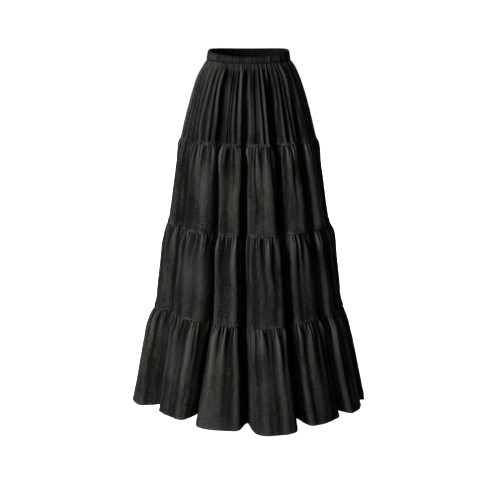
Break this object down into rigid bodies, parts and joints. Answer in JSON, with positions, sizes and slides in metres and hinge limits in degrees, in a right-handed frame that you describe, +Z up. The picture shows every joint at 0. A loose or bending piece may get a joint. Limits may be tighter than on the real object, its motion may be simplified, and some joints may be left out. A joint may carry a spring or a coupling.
{
  "type": "tiered maxi skirt",
  "caption": "Long tiered skirt with a ruched elastic waistband and gathered tiers, filled out into a hollow worn shape, open at waist and hem.",
  "frame": {"origin": "middle of the waistband, on the line where its casing lies round the waist", "axes": "+Z up, from the hem to the waist; the front faces -Y; +X to the right as the front is seen"},
  "size_m": [0.7, 0.5851, 1.043],
  "materials": {
    "skirt_cloth": "matte plain-woven linen and cotton cloth, soft black, slightly slubbed",
    "waistband_cloth": "the same cloth, ruched over a wide elastic"
  },
  "bodies": {
    "root": {"waistband": "waistband_cloth", "tier_1_front": "skirt_cloth", "tier_1_back": "skirt_cloth", "tier_2_front": "skirt_cloth", "tier_2_back": "skirt_cloth", "tier_3_front": "skirt_cloth", "tier_3_back": "skirt_cloth", "tier_4_front": "skirt_cloth", "tier_4_back": "skirt_cloth"}
  },
  "joints": []
}
